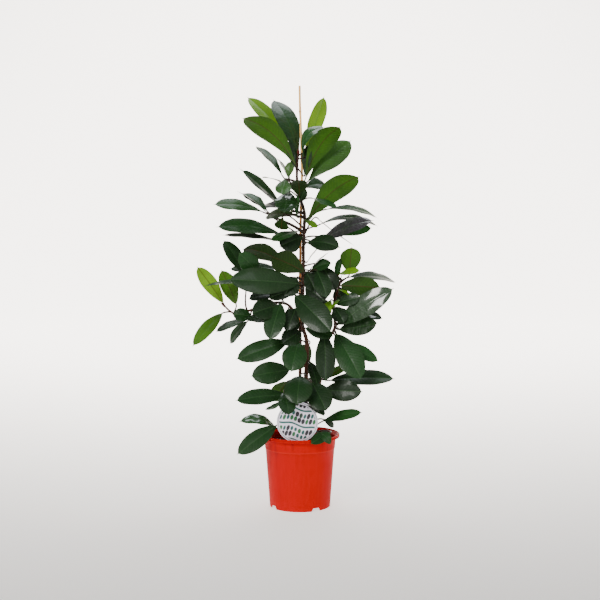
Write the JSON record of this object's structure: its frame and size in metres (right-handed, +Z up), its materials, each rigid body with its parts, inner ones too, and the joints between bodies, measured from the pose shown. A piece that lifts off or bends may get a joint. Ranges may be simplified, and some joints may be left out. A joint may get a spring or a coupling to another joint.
{
  "type": "potted african fig",
  "caption": "Young broad-leaved fig plant with leafy stems rising round a thin bamboo cane from a flared plastic nursery pot with soil and a round plant label.",
  "frame": {"origin": "middle of the pot's foot on the floor", "axes": "+Z up along the pot's axis and the cane, -Y the front, which the plant label faces, +X to the right seen from the front"},
  "size_m": [0.5348, 0.2807, 1.1071],
  "materials": {
    "red_plastic": "moulded terracotta-red plastic, satin",
    "potting_soil": "dark peaty potting soil, matt and crumbly",
    "bamboo": "dry pale bamboo, satin",
    "white_card": null,
    "fig_leaf": "waxy green leaves on brown-green stems"
  },
  "bodies": {
    "root": {"pot": "red_plastic", "soil": "potting_soil", "bamboo_cane": "bamboo", "plant_label": "white_card", "main_leafy_stem": "fig_leaf", "left_leafy_stem": "fig_leaf", "right_leafy_stem": "fig_leaf"}
  },
  "joints": []
}
